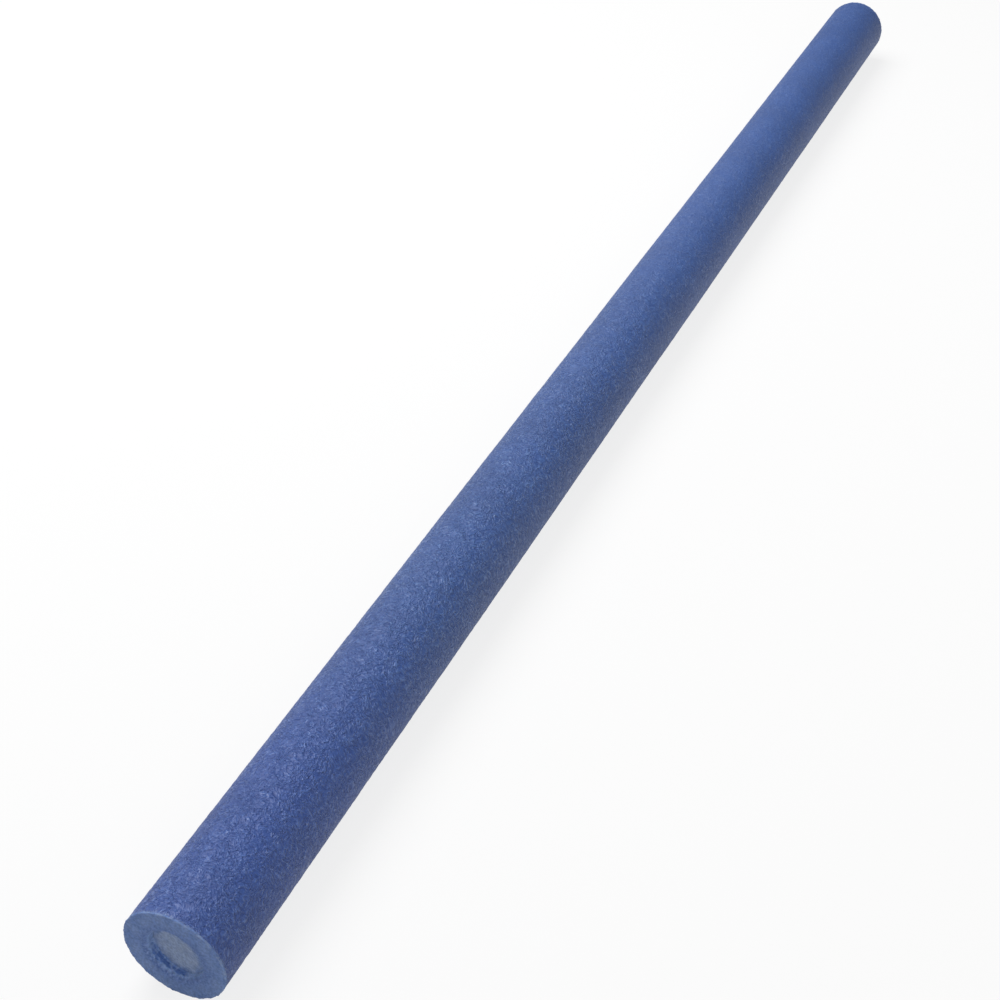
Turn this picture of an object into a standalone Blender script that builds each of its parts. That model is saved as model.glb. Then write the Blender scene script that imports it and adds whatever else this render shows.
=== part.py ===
"""A pool noodle: a long straight tube of blue foam with a pale foam core in its bore.

Metres, +Z up. The noodle lies along X on the plane Z = 0, with the origin under its middle.
Both pieces are turned about the noodle's axis and then raised to lie on that plane.
"""

import math

import bmesh
import bpy

# Foam tube
NOODLE_LENGTH = 1.500
TUBE_DIAMETER = 0.065
BORE_DIAMETER = 0.035
CUT_EDGE_ROUND = 0.0006  # the cutting wire leaves the outer edge of each end a little soft
BORE_LIP_ROUND = 0.0012
REST_DEPTH = 0.0005  # how far the soft underside gives where the noodle lies

# Foam core
CORE_CLEARANCE = 0.0003  # between the core and the wall of the bore
CORE_SETBACK = 0.0026  # from each cut face to the middle of the core's own end face
CORE_END_SLANT = 0.0022  # how much deeper that face lies at its deepest side than at its middle
DEEPEST_SIDE = math.radians(-25)  # seen along X from +Y towards +Z, so low on the +Y side
CORE_EDGE_ROUND = 0.0010

# Facets
SIDES = 96
ROUND_STEPS = 3
SHARP_ANGLE = math.radians(40)
QUARTER_TURN = math.radians(90)
HALF_TURN = math.radians(180)

# Finishes: colour, roughness and metallic
BLUE_FOAM = ((0.085, 0.145, 0.385, 1.0), 0.70, 0.0)
PALE_FOAM = ((0.190, 0.245, 0.370, 1.0), 0.90, 0.0)


def clear_scene():
    """Takes away whatever the scene holds."""
    for leftover in list(bpy.data.objects):
        bpy.data.objects.remove(leftover, do_unlink=True)


def foam_material(name, finish):
    """A plain dull material for one kind of foam."""
    colour, roughness, metallic = finish
    material = bpy.data.materials.new(name)
    material.use_nodes = True
    shader = material.node_tree.nodes["Principled BSDF"]
    shader.inputs["Base Color"].default_value = colour
    shader.inputs["Roughness"].default_value = roughness
    shader.inputs["Metallic"].default_value = metallic
    material.diffuse_color = colour
    return material


def quarter_round(centre_x, centre_r, size, start):
    """Points of a quarter circle in the profile's plane, as (x, radius), from the angle start on."""
    angles = [start + QUARTER_TURN * step / ROUND_STEPS for step in range(ROUND_STEPS + 1)]
    return [(centre_x + size * math.cos(a), centre_r + size * math.sin(a)) for a in angles]


def tube_profile():
    """The closed section of the tube's wall, as (x, radius), with its four corners rounded."""
    end = NOODLE_LENGTH / 2
    edge_x, edge_r = end - CUT_EDGE_ROUND, TUBE_DIAMETER / 2 - CUT_EDGE_ROUND
    lip_x, lip_r = end - BORE_LIP_ROUND, BORE_DIAMETER / 2 + BORE_LIP_ROUND
    return (
        quarter_round(edge_x, edge_r, CUT_EDGE_ROUND, 0)
        + quarter_round(-edge_x, edge_r, CUT_EDGE_ROUND, QUARTER_TURN)
        + quarter_round(-lip_x, lip_r, BORE_LIP_ROUND, HALF_TURN)
        + quarter_round(lip_x, lip_r, BORE_LIP_ROUND, HALF_TURN + QUARTER_TURN)
    )


def core_profile():
    """The core's outer line, as (x, radius), open at both ends, where flat faces close it."""
    end = NOODLE_LENGTH / 2 - CORE_SETBACK
    radius = BORE_DIAMETER / 2 - CORE_CLEARANCE
    round_x, round_r = end - CORE_EDGE_ROUND, radius - CORE_EDGE_ROUND
    return (
        quarter_round(round_x, round_r, CORE_EDGE_ROUND, 0)
        + quarter_round(-round_x, round_r, CORE_EDGE_ROUND, QUARTER_TURN)
    )


def turned(profile, closed):
    """A body turned about X from points (x, radius). An open profile gets a flat face at each end."""
    body = bmesh.new()
    ring = [body.verts.new((x, 0, radius)) for x, radius in profile]
    pairs = list(zip(ring, ring[1:]))
    if closed:
        pairs.append((ring[-1], ring[0]))
    edges = [body.edges.new(pair) for pair in pairs]
    bmesh.ops.spin(
        body,
        geom=ring + edges,
        cent=(0, 0, 0),
        axis=(1, 0, 0),
        angle=math.tau,
        steps=SIDES,
        use_merge=True,
    )
    bmesh.ops.holes_fill(body, edges=[edge for edge in body.edges if edge.is_boundary])
    return body


def cut_flat(body, height):
    """Takes off what lies under a height and closes the cut with one flat face."""
    cut = bmesh.ops.bisect_plane(
        body,
        geom=body.verts[:] + body.edges[:] + body.faces[:],
        plane_co=(0, 0, height),
        plane_no=(0, 0, -1),
        clear_outer=True,
    )
    rim = [item for item in cut["geom_cut"] if isinstance(item, bmesh.types.BMEdge)]
    bmesh.ops.edgeloop_fill(body, edges=rim)


def slant_ends(body):
    """Shears the core's two ends, so that each end face lies deeper on one side."""
    slope = CORE_END_SLANT / (BORE_DIAMETER / 2 - CORE_CLEARANCE)
    for corner in body.verts:
        x, y, z = corner.co
        deeper = slope * (y * math.cos(DEEPEST_SIDE) + z * math.sin(DEEPEST_SIDE))
        corner.co.x = x - math.copysign(deeper, x)


def add_piece(name, body, material, assembly, axis_height):
    """Makes an object from a body whose axis is X, and lays it with its axis at a height."""
    bmesh.ops.recalc_face_normals(body, faces=body.faces)
    mesh = bpy.data.meshes.new(name)
    body.to_mesh(mesh)
    body.free()
    mesh.materials.append(material)
    mesh.shade_smooth()
    mesh.set_sharp_from_angle(angle=SHARP_ANGLE)
    piece = bpy.data.objects.new(name, mesh)
    piece.parent = assembly
    piece.location = (0, 0, axis_height)
    bpy.context.collection.objects.link(piece)


def foam_tube(assembly, axis_height):
    """The blue tube, flat along the strip of its underside that it lies on."""
    body = turned(tube_profile(), closed=True)
    cut_flat(body, -axis_height)
    material = foam_material("blue_foam", BLUE_FOAM)
    add_piece("foam_tube", body, material, assembly, axis_height)


def foam_core(assembly, axis_height):
    """The pale rod that fills the bore and ends a little short of both cut faces, on a slant."""
    body = turned(core_profile(), closed=False)
    slant_ends(body)
    material = foam_material("pale_foam", PALE_FOAM)
    add_piece("foam_core", body, material, assembly, axis_height)


def main():
    """Builds the noodle, lying on the plane Z = 0."""
    clear_scene()
    assembly = bpy.data.objects.new("pool_noodle", None)
    bpy.context.collection.objects.link(assembly)
    axis_height = TUBE_DIAMETER / 2 - REST_DEPTH
    foam_tube(assembly, axis_height)
    foam_core(assembly, axis_height)


main()
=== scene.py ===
"""The dressed pool noodle: a blue foam tube with a pale foam core, lying on a pale studio floor.

Everything is in metres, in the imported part's frame: the noodle lies along X on Z = 0, its middle over
the origin. Both pieces are turned about the noodle's axis as fine grids and roughened vertex by vertex.
"""

import logging
import math

from dataclasses import dataclass
from enum import Enum
from typing import Any

import bpy
import numpy as np
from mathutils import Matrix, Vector, noise
from numpy.typing import NDArray


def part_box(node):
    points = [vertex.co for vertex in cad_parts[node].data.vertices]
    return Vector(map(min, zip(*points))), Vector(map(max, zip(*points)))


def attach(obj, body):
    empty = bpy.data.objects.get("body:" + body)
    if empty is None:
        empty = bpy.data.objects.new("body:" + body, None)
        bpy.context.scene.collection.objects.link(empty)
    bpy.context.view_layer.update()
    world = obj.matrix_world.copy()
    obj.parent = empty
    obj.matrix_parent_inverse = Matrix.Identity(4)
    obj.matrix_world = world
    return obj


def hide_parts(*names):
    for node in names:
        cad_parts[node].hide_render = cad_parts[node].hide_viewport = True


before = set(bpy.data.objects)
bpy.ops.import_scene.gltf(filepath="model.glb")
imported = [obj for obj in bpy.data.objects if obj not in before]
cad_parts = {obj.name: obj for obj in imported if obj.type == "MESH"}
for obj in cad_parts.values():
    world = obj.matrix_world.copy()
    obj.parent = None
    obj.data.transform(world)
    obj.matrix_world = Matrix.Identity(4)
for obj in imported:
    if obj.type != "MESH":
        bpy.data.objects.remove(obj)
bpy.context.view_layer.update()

LOG = logging.getLogger("pool_noodle")

Values = NDArray[np.float64]
Socket = bpy.types.NodeSocket
Colour = tuple[float, float, float]
Point = tuple[float, float, float]
Span = tuple[float, float]
Bend = tuple[float, float]  # width of the noise that bends something, and how far it pushes
Spot = tuple[float, float]  # a point of a turned profile, along and across the axis

MM = 0.001
BODY = "root"
MAP_NAME = "OFBake"

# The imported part's own sizes
TUBE_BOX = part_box("foam_tube")
CORE_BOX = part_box("foam_core")
HALF_LENGTH = (TUBE_BOX[1].x - TUBE_BOX[0].x) / 2
TUBE_RADIUS = (TUBE_BOX[1].y - TUBE_BOX[0].y) / 2
AXIS_HEIGHT = TUBE_BOX[1].z - TUBE_RADIUS
CORE_HALF_LENGTH = (CORE_BOX[1].x - CORE_BOX[0].x) / 2
CORE_RADIUS = (CORE_BOX[1].y - CORE_BOX[0].y) / 2

# Noise
NOISE_FALL = 1.0  # how fast its finer layers weaken
NOISE_STEP = 2.0  # how much finer each layer is than the one before it
CELL_SHARPNESS = 1.4  # how steeply a foam cell's wall stands up
NODE_NOISE_MIDDLE = 0.5
NODE_NOISE_SPAN: Span = (0.3, 0.7)  # holds nearly all the values that a noise node gives
RISING: Span = (0.0, 1.0)
FALLING: Span = (1.0, 0.0)

# What all the foam shares
LIGHT_REACH: Colour = (0.6, 0.8, 1.0)  # how far each colour of light wanders in it, as shares
LIGHT_DEPTH = 2.0 * MM
FLECK_SIZE = 1.7 * MM
FLECK_SPAN: Span = (0.83, 1.17)  # how dark and how light an opened cell's flecks are
MOUTH_SHADE_BLUE: Colour = (0.104, 0.170, 0.385)  # painted shade where the cut faces and the wall of the bore meet, round the bore's mouth
WHITE = (1.0, 1.0, 1.0, 1.0)

# Turning
TO_AXIS = 270.0  # directions in the profile, in degrees
OUT_OF_END = 180.0
QUARTER_TURN = 90.0
UNDERSIDE = -math.pi / 2  # where each ring starts, seen along X
NEAR_AXIS = 1.0 * MM  # what a point counts as that lies closer to the axis


class Zone(Enum):
    """Part of the tube's surface, as its material index."""

    SKIN = 0
    CUT = 1
    BORE = 2


class Detail(Enum):
    """How many finer layers a noise node lays over its broadest features."""

    PLAIN = 0.0
    SOFT = 1.0
    ROUGH = 2.0
    FINE = 3.0


# Noise over points


def waves(points: Values, size: float, octaves: int, shift: float = 0.0) -> Values:
    """Smooth uneven noise, mostly from -1 to 1.

    Args:
        points: Rows of x, y, z in metres.
        size: Width of its broadest features, in metres.
        octaves: How many finer layers it has.
        shift: Moves the pattern, so that two fields differ.

    Returns:
        One value for each point.
    """
    rows = (points / size + shift).tolist()
    found = (noise.fractal(row, NOISE_FALL, NOISE_STEP, octaves) for row in rows)
    return np.fromiter(found, float, len(rows))


def cells(points: Values, size: float) -> Values:
    """Closed foam cells: 0 at a cell's middle, 1 at the wall between two.

    Args:
        points: Rows of x, y, z in metres.
        size: Distance between cells, in metres.

    Returns:
        One value for each point.
    """
    rows = (points / size).tolist()
    found = (noise.voronoi(row)[0] for row in rows)
    near = np.array([(nearest, second) for nearest, second, *_ in found])
    return np.clip(1.0 - (near[:, 1] - near[:, 0]) * CELL_SHARPNESS, 0.0, 1.0)


def smooth_step(value: Values, low: float | Values, high: float | Values) -> Values:
    """Values eased from 0 at low to 1 at high."""
    share = np.clip((value - low) / (high - low), 0.0, 1.0)
    return share * share * (3.0 - 2.0 * share)


@dataclass(frozen=True)
class Layer:
    """One layer of noise that moves a surface out and in."""

    size: float
    height: float
    octaves: int
    shift: float = 0.0  # moves the pattern

    def push(self, points: Values) -> Values:
        """How far it moves each point out."""
        return waves(points, self.size, self.octaves, self.shift) * self.height


# Node materials


class Board:
    """The node tree of one material, with short ways to add and join nodes."""

    def __init__(self, name: str) -> None:
        """Starts an empty material.

        Args:
            name: The material's name.
        """
        self.material = bpy.data.materials.new(name)
        self.material.use_nodes = True
        self.tree = self.material.node_tree
        self.shader = self.tree.nodes["Principled BSDF"]
        self.output = self.tree.nodes["Material Output"]

    def add(self, kind: str, inputs: dict[str | int, Any] | None = None, **settings: Any) -> bpy.types.Node:
        """Adds a node.

        Args:
            kind: The node's type, without its ShaderNode prefix.
            inputs: A value or another node's socket for each input, by name or index.
            settings: The node's own properties.

        Returns:
            The node.
        """
        node = self.tree.nodes.new("ShaderNode" + kind)
        for name, value in settings.items():
            setattr(node, name, value)
        for name, value in (inputs or {}).items():
            self.feed(node.inputs[name], value)
        return node

    def feed(self, socket: Socket, value: Any) -> None:
        """Joins a socket to another, or sets it to a plain value.

        Args:
            socket: The input.
            value: Another node's socket, or a value.
        """
        if isinstance(value, Socket):
            self.tree.links.new(value, socket)
        else:
            socket.default_value = value

    def maths(self, operation: str, *values: Socket | float) -> Socket:
        """One step of arithmetic on numbers."""
        return self.add("Math", dict(enumerate(values)), operation=operation).outputs[0]

    def vector_maths(self, operation: str, *values: Socket | Point) -> bpy.types.Node:
        """One step of arithmetic on positions or colours."""
        return self.add("VectorMath", dict(enumerate(values)), operation=operation)

    def sum(self, first: Socket | float, second: Socket | float) -> Socket:
        """One value plus another."""
        return self.maths("ADD", first, second)

    def product(self, first: Socket | float, second: Socket | float) -> Socket:
        """One value times another."""
        return self.maths("MULTIPLY", first, second)

    def stretched(self, vector: Socket, factors: Point) -> Socket:
        """A position or a colour, each of its three parts times a factor."""
        return self.vector_maths("MULTIPLY", vector, factors).outputs[0]

    def dimmed(self, colour: Socket, share: Socket) -> Socket:
        """A colour times a share."""
        return self.add("VectorMath", {0: colour, "Scale": share}, operation="SCALE").outputs[0]

    def length(self, vector: Socket) -> Socket:
        """How long a vector is."""
        return self.vector_maths("LENGTH", vector).outputs["Value"]

    def spread(self, value: Socket, span: Span, to: Span = RISING) -> Socket:
        """A value from one range brought to another, eased at both ends."""
        inputs = {"Value": value, 1: span[0], 2: span[1], 3: to[0], 4: to[1]}
        return self.add("MapRange", inputs, interpolation_type="SMOOTHSTEP").outputs[0]

    def blend(self, share: Socket | float, first: Socket | Colour, second: Socket | Colour) -> Socket:
        """A colour between two.

        Args:
            share: How much of the second it has.
            first: The colour at 0.
            second: The colour at 1.

        Returns:
            The blended colour.
        """
        node = self.add("Mix", data_type="RGBA")
        for index, value in ((0, share), (6, first), (7, second)):
            self.feed(node.inputs[index], (*value, 1.0) if isinstance(value, tuple) else value)
        return node.outputs[2]

    def mark(self, name: str) -> Socket:
        """A value that the mesh holds for each vertex."""
        return self.add("Attribute", attribute_name=name).outputs["Fac"]

    def place(self) -> Socket:
        """Positions on the piece, in metres."""
        return self.add("TexCoord").outputs["Object"]

    def along(self) -> Socket:
        """Distance along the noodle from its middle, towards its far end."""
        return self.add("SeparateXYZ", {0: self.place()}).outputs["X"]

    def off_end(self) -> Socket:
        """Distance from the plane of the nearer cut face."""
        return self.maths("SUBTRACT", HALF_LENGTH, self.maths("ABSOLUTE", self.along()))

    def off_axis(self, aside: Point = (0.0, 0.0, 0.0)) -> Socket:
        """Distance from the noodle's axis, or from a line that runs aside of it."""
        centred = self.vector_maths("ADD", self.place(), (0.0, -aside[1], -AXIS_HEIGHT - aside[2]))
        return self.length(self.stretched(centred.outputs[0], (0.0, 1.0, 1.0)))

    def grain(self, place: Socket, size: float, detail: Detail) -> Socket:
        """Noise round 0.5 whose broadest features are one size across."""
        inputs = {"Vector": place, "Scale": 1.0 / size, "Detail": detail.value}
        return self.add("TexNoise", inputs).outputs["Fac"]

    def uneven(self, place: Socket, size: float, detail: Detail, reach: float) -> Socket:
        """Noise round 0 that reaches about half of a value to either side."""
        return self.product(self.sum(self.grain(place, size, detail), -NODE_NOISE_MIDDLE), reach)

    def clouds(self, place: Socket, size: float, detail: Detail, to: Span = RISING) -> Socket:
        """Noise that fills a range."""
        return self.spread(self.grain(place, size, detail), NODE_NOISE_SPAN, to)

    def pits(self, place: Socket, size: float) -> Socket:
        """Cells: 0 at a cell's middle, growing outwards."""
        return self.add("TexVoronoi", {"Vector": place, "Scale": 1.0 / size}).outputs["Distance"]

    def swirl(self, place: Socket, bend: Bend) -> Socket:
        """Positions pushed about by noise.

        Args:
            place: The positions.
            bend: Width of the noise's features, and how far it pushes.

        Returns:
            The new positions.
        """
        size, reach = bend
        inputs = {"Vector": place, "Scale": 1.0 / size, "Detail": Detail.SOFT.value}
        push = self.add("TexNoise", inputs).outputs["Color"]
        centred = self.vector_maths("SUBTRACT", push, (NODE_NOISE_MIDDLE,) * 3)
        return self.vector_maths("MULTIPLY_ADD", centred.outputs[0], (reach,) * 3, place).outputs[0]

    def mottled(self, colour: Socket, place: Socket) -> Socket:
        """A colour with soft lighter and darker flecks, as opened foam shows."""
        return self.dimmed(colour, self.clouds(place, FLECK_SIZE, Detail.ROUGH, FLECK_SPAN))

    def finish(
        self,
        colour: Socket,
        roughness: Socket | float,
        height: Socket,
        depth: float,
        specular: float,
        softness: float,
    ) -> bpy.types.Material:
        """Gives the shader its finish.

        Args:
            colour: Base colour.
            roughness: Roughness, plain or from nodes.
            height: Relief from 0 to 1.
            depth: What a relief of 1 measures.
            specular: Specular level.
            softness: Share of the light that wanders through the foam before it leaves.

        Returns:
            The material.
        """
        bump = self.add("Bump", {"Height": height, "Distance": depth, "Strength": 1.0})
        self.feed(self.shader.inputs["Base Color"], colour)
        self.feed(self.shader.inputs["Roughness"], roughness)
        self.feed(self.shader.inputs["Normal"], bump.outputs[0])
        self.shader.inputs["Specular IOR Level"].default_value = specular
        self.shader.inputs["Subsurface Weight"].default_value = softness
        self.shader.inputs["Subsurface Radius"].default_value = LIGHT_REACH
        self.shader.inputs["Subsurface Scale"].default_value = LIGHT_DEPTH
        return self.material


# Finishes
#
# A span, a depth or a band is the range over which something fades in, and a bend is how it is pushed
# about. A share is its part in the colour, and a rise or a drop its part in the relief.


@dataclass(frozen=True)
class Windings:
    """Winding lines on the skin: their distance and width, how they bend and where they break off."""

    apart: float
    width: float  # in the noise's own values
    bend: Bend
    patch_size: float
    patch_span: Span

    def drawn(self, board: Board, place: Socket, patches: Socket | None = None) -> Socket:
        """Draws the lines.

        Args:
            board: The finish's nodes.
            place: Positions that the lines follow.
            patches: Positions that their breaks follow, or None where these follow the bent lines.

        Returns:
            The lines' share at each point, 1 on a line.
        """
        bent = board.swirl(place, self.bend)
        off_line = board.sum(board.grain(bent, self.apart, Detail.PLAIN), -NODE_NOISE_MIDDLE)
        line = board.spread(board.maths("ABSOLUTE", off_line), (0.0, self.width), FALLING)
        patch = board.grain(bent if patches is None else patches, self.patch_size, Detail.SOFT)
        return board.product(line, board.spread(patch, self.patch_span))


@dataclass(frozen=True)
class FrayedRim:
    """The broken, paler line of torn foam along the outer edge of a cut."""

    torn_foam: Colour
    strength: float
    width: float
    wander: float  # how far its side moves in and out
    gap: float
    solid_share: float = 0.2  # of its width, before it fades
    fray_share: float = 1 / 3  # of a gap, for the noise that moves its side
    gap_span: Span = (0.40, 0.62)
    gap_fill: Span = (0.1, 1.0)

    def over(self, board: Board, colour: Socket) -> Socket:
        """Lays the line over a finish's colour.

        Args:
            board: The finish's nodes.
            colour: The colour without it.

        Returns:
            The colour with the line.
        """
        place = board.place()
        inward = board.maths("SUBTRACT", TUBE_RADIUS, board.off_axis())
        from_edge = board.length(board.add("CombineXYZ", {0: inward, 1: board.off_end()}).outputs[0])
        shift = board.uneven(place, self.gap * self.fray_share, Detail.FINE, self.wander)
        solid = self.width * self.solid_share
        line = board.spread(board.sum(from_edge, shift), (solid, self.width), FALLING)
        kept = board.spread(board.grain(place, self.gap, Detail.ROUGH), self.gap_span, self.gap_fill)
        share = board.product(board.product(line, kept), self.strength)
        return board.blend(share, colour, self.torn_foam)


@dataclass(frozen=True)
class OpenedCells:
    """The foam's cells where a cut or a tear has opened them."""

    size: float
    bend: Bend
    dark_span: Span
    span: Span = (0.05, 0.6)
    # how much painted shade the opened cells get, from their middles to their walls
    middle_shade: Span = (0.35, 0.0)

    def drawn(self, board: Board, place: Socket) -> Socket:
        """The cells, 0 at a cell's middle and 1 at its wall."""
        return board.spread(board.pits(board.swirl(place, self.bend), self.size), self.span)

    def over(self, board: Board, opened: Socket, colour: Socket, hollow_shade: Colour) -> Socket:
        """A colour with the opened cells, darkened at their middles with the hollow's colour as painted
        shade.
        """
        return board.blend(board.spread(opened, self.dark_span, self.middle_shade), colour, hollow_shade)


@dataclass(frozen=True)
class WrinkledSkin:
    """The tube's outside: a thin skin crumpled into short winding ridges, with small pits."""

    # Painted light and shade: the colour is darkest in the relief's hollows, folds and pits (painted shade)
    # and lightest on its crests (painted highlight).
    blue: Colour = (0.028, 0.080, 0.318)
    hollow_shade: Colour = (0.012, 0.050, 0.243)
    hollow_span: Span = (-0.05, 0.35)
    ridge_highlight: Colour = (0.068, 0.143, 0.440)
    ridge_span: Span = (0.31, 0.86)
    far_light: Colour = (1.17, 1.15, 0.97)  # painted light: what the colour is multiplied by away from the near end, lighter and less blue there as the light falls along the noodle
    far_light_span: Span = (-0.66, -0.42)
    tone_size: float = 60.0 * MM
    tone_span: Span = (0.95, 1.05)
    flow_bend: Bend = (12.0 * MM, 9.0 * MM)
    flow_stretch: Point = (1.15, 0.90, 0.90)
    worm_size: float = 1.6 * MM
    worm_bend: Bend = (4.0 * MM, 2.6 * MM)
    worm_span: Span = (0.36, 0.66)
    worm_rise: float = 0.45
    grain_size: float = 0.7 * MM
    grain_rise: float = 0.15
    wisps: Windings = Windings(
        apart=2.4 * MM, width=0.17, bend=(3.0 * MM, 1.8 * MM), patch_size=2.6 * MM, patch_span=(0.42, 0.60)
    )
    creases: Windings = Windings(
        apart=5.5 * MM,
        width=0.04,
        bend=(14.0 * MM, 5.0 * MM),
        patch_size=13.0 * MM,
        patch_span=(0.54, 0.64),
    )
    crease_stretch: Point = (1.0, 0.40, 0.40)
    crest_rise: float = 0.55
    folds: Windings = Windings(
        apart=1.9 * MM, width=0.12, bend=(3.6 * MM, 2.2 * MM), patch_size=2.2 * MM, patch_span=(0.46, 0.60)
    )
    fold_drop: float = 0.38
    pit_gap: float = 2.2 * MM
    pit_bend: Bend = (3.0 * MM, 1.2 * MM)
    pit_span: Span = (0.10, 0.34)
    pit_patch_size: float = 5.0 * MM
    pit_patch_span: Span = (0.44, 0.58)
    pit_drop: float = 0.45
    crumple_size: float = 17.0 * MM
    crumple_span: Span = (0.34, 0.56)
    crumple_fill: Span = (0.82, 1.0)
    calm_span: Span = (-0.30, 0.25)  # where along the noodle the skin grows calmer
    calm_share: float = 0.56
    calm_level: float = 0.3
    fine_share: float = 0.8  # how much of the colour, with its painted shade and highlight, follows the fine relief, and not the mesh
    roughness: Span = (0.60, 0.37)
    specular: float = 0.80
    softness: float = 0.0
    relief: float = 0.68 * MM
    rim: FrayedRim = FrayedRim(
        torn_foam=(0.185, 0.255, 0.440), strength=0.6, width=3.0 * MM, wander=5.5 * MM, gap=3.2 * MM
    )

    def worms(self, board: Board, place: Socket) -> Socket:
        """Short rounded ridges, 1 on top and 0 between them."""
        bent = board.swirl(place, self.worm_bend)
        return board.spread(board.grain(bent, self.worm_size, Detail.SOFT), self.worm_span)

    def pits(self, board: Board, place: Socket) -> Socket:
        """Makes small pits here and there.

        Args:
            board: The finish's nodes.
            place: Positions that they follow.

        Returns:
            Their share at each point, 1 at a pit's middle.
        """
        pits = board.pits(board.swirl(place, self.pit_bend), self.pit_gap)
        patch = board.grain(place, self.pit_patch_size, Detail.SOFT)
        kept = board.spread(patch, self.pit_patch_span)
        return board.product(board.spread(pits, self.pit_span, FALLING), kept)

    def fine_relief(self, board: Board, place: Socket) -> Socket:
        """Builds up the relief that is too fine for the mesh.

        Args:
            board: The finish's nodes.
            place: Positions that it follows.

        Returns:
            Its height at each point, mostly from 0 to 1.
        """
        round_it = board.stretched(board.place(), self.crease_stretch)
        creases = self.creases.drawn(board, round_it, place)
        crests = board.maths("MAXIMUM", self.wisps.drawn(board, place, place), creases)
        worms = board.product(self.worms(board, place), self.worm_rise)
        grain = board.product(board.clouds(place, self.grain_size, Detail.SOFT), self.grain_rise)
        raised = board.sum(board.sum(worms, grain), board.product(crests, self.crest_rise))
        crumpled = board.grain(place, self.crumple_size, Detail.ROUGH)
        level = board.product(raised, board.spread(crumpled, self.crumple_span, self.crumple_fill))
        level = board.sum(level, board.product(self.folds.drawn(board, place), -self.fold_drop))
        level = board.sum(level, board.product(self.pits(board, place), -self.pit_drop))
        calm = board.spread(board.along(), self.calm_span, (1.0, self.calm_share))
        return board.sum(board.product(board.sum(level, -self.calm_level), calm), self.calm_level)

    def material(self) -> bpy.types.Material:
        """Builds its nodes.

        Returns:
            The material.
        """
        board = Board("wrinkled_skin")
        place = board.stretched(board.swirl(board.place(), self.flow_bend), self.flow_stretch)
        level = self.fine_relief(board, place)
        by_mesh = board.product(board.mark("wrinkle"), 1.0 - self.fine_share)
        height = board.sum(board.product(level, self.fine_share), by_mesh)
        # painted shade in the hollows and painted highlight on the crests, by the relief's height
        colour = board.blend(board.spread(height, self.hollow_span), self.hollow_shade, self.blue)
        colour = board.blend(board.spread(height, self.ridge_span), colour, self.ridge_highlight)
        colour = board.dimmed(colour, board.clouds(place, self.tone_size, Detail.ROUGH, self.tone_span))
        # painted light: lighter and less blue away from the near end
        far_lit = board.stretched(colour, self.far_light)
        colour = board.blend(board.spread(board.along(), self.far_light_span), colour, far_lit)
        colour = self.rim.over(board, colour)
        roughness = board.spread(level, RISING, self.roughness)
        return board.finish(colour, roughness, level, self.relief, self.specular, self.softness)


@dataclass(frozen=True)
class KnifeCut:
    """A cut face: opened cells and faint drag lines, paler than the skin, with painted shade in the cells
    and near the bore's lip.
    """

    blue: Colour = (0.133, 0.213, 0.440)
    blue_share: float = 0.55
    # a darker tone, for the random clouds and for the painted shade in the opened cells' middles
    hollow_shade: Colour = (0.093, 0.165, 0.395)
    pale: Colour = (0.185, 0.267, 0.490)
    cloud_size: float = 8.0 * MM
    cloud_span: Span = (0.32, 0.68)
    cells: OpenedCells = OpenedCells(size=1.0 * MM, bend=(3.0 * MM, 1.0 * MM), dark_span=(0.0, 0.6))
    cell_rise: float = 0.55
    drag_size: float = 1.8 * MM
    drag_stretch: Point = (1.0, 0.25, 1.0)
    drag_bend: Bend = (9.0 * MM, 2.5 * MM)
    drag_share: float = 0.22
    drag_rise: float = 0.45
    # painted shade on the cut face near the bore's lip
    lip: Colour = MOUTH_SHADE_BLUE
    lip_shade_reach: float = 9.0 * MM
    speck: Colour = (0.050, 0.095, 0.270)
    speck_size: float = 1.5 * MM
    speck_bend: Bend = (3.0 * MM, 1.5 * MM)
    speck_span: Span = (0.28, 0.40)
    speck_share: float = 0.65
    roughness: Span = (0.9, 0.75)
    specular: float = 0.3
    softness: float = 0.7
    relief: float = 0.12 * MM
    rim: FrayedRim = FrayedRim(
        torn_foam=(0.280, 0.350, 0.520), strength=0.55, width=1.5 * MM, wander=3.6 * MM, gap=3.6 * MM
    )

    def material(self) -> bpy.types.Material:
        """Builds its nodes.

        Returns:
            The material.
        """
        board = Board("knife_cut")
        place = board.place()
        opened = self.cells.drawn(board, place)
        dragged = board.swirl(board.stretched(place, self.drag_stretch), self.drag_bend)
        lines = board.clouds(dragged, self.drag_size, Detail.FINE)
        cloud = board.spread(board.grain(place, self.cloud_size, Detail.ROUGH), self.cloud_span)
        colour = board.blend(cloud, self.hollow_shade, self.pale)
        colour = board.blend(self.blue_share, colour, self.blue)
        colour = self.cells.over(board, opened, colour, self.hollow_shade)
        colour = board.blend(board.product(lines, self.drag_share), colour, self.pale)
        # painted shade by the bore's lip, with dark specks only in that band
        lip_shade = board.spread(board.off_axis(), (CORE_RADIUS, CORE_RADIUS + self.lip_shade_reach), FALLING)
        colour = board.blend(lip_shade, colour, self.lip)
        specks = board.grain(board.swirl(place, self.speck_bend), self.speck_size, Detail.SOFT)
        specks = board.product(board.spread(specks, self.speck_span, FALLING), lip_shade)
        colour = board.blend(board.product(specks, self.speck_share), colour, self.speck)
        colour = self.rim.over(board, board.mottled(colour, place))
        height = board.sum(board.product(opened, self.cell_rise), board.product(lines, self.drag_rise))
        roughness = board.spread(opened, RISING, self.roughness)
        return board.finish(colour, roughness, height, self.relief, self.specular, self.softness)


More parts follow.
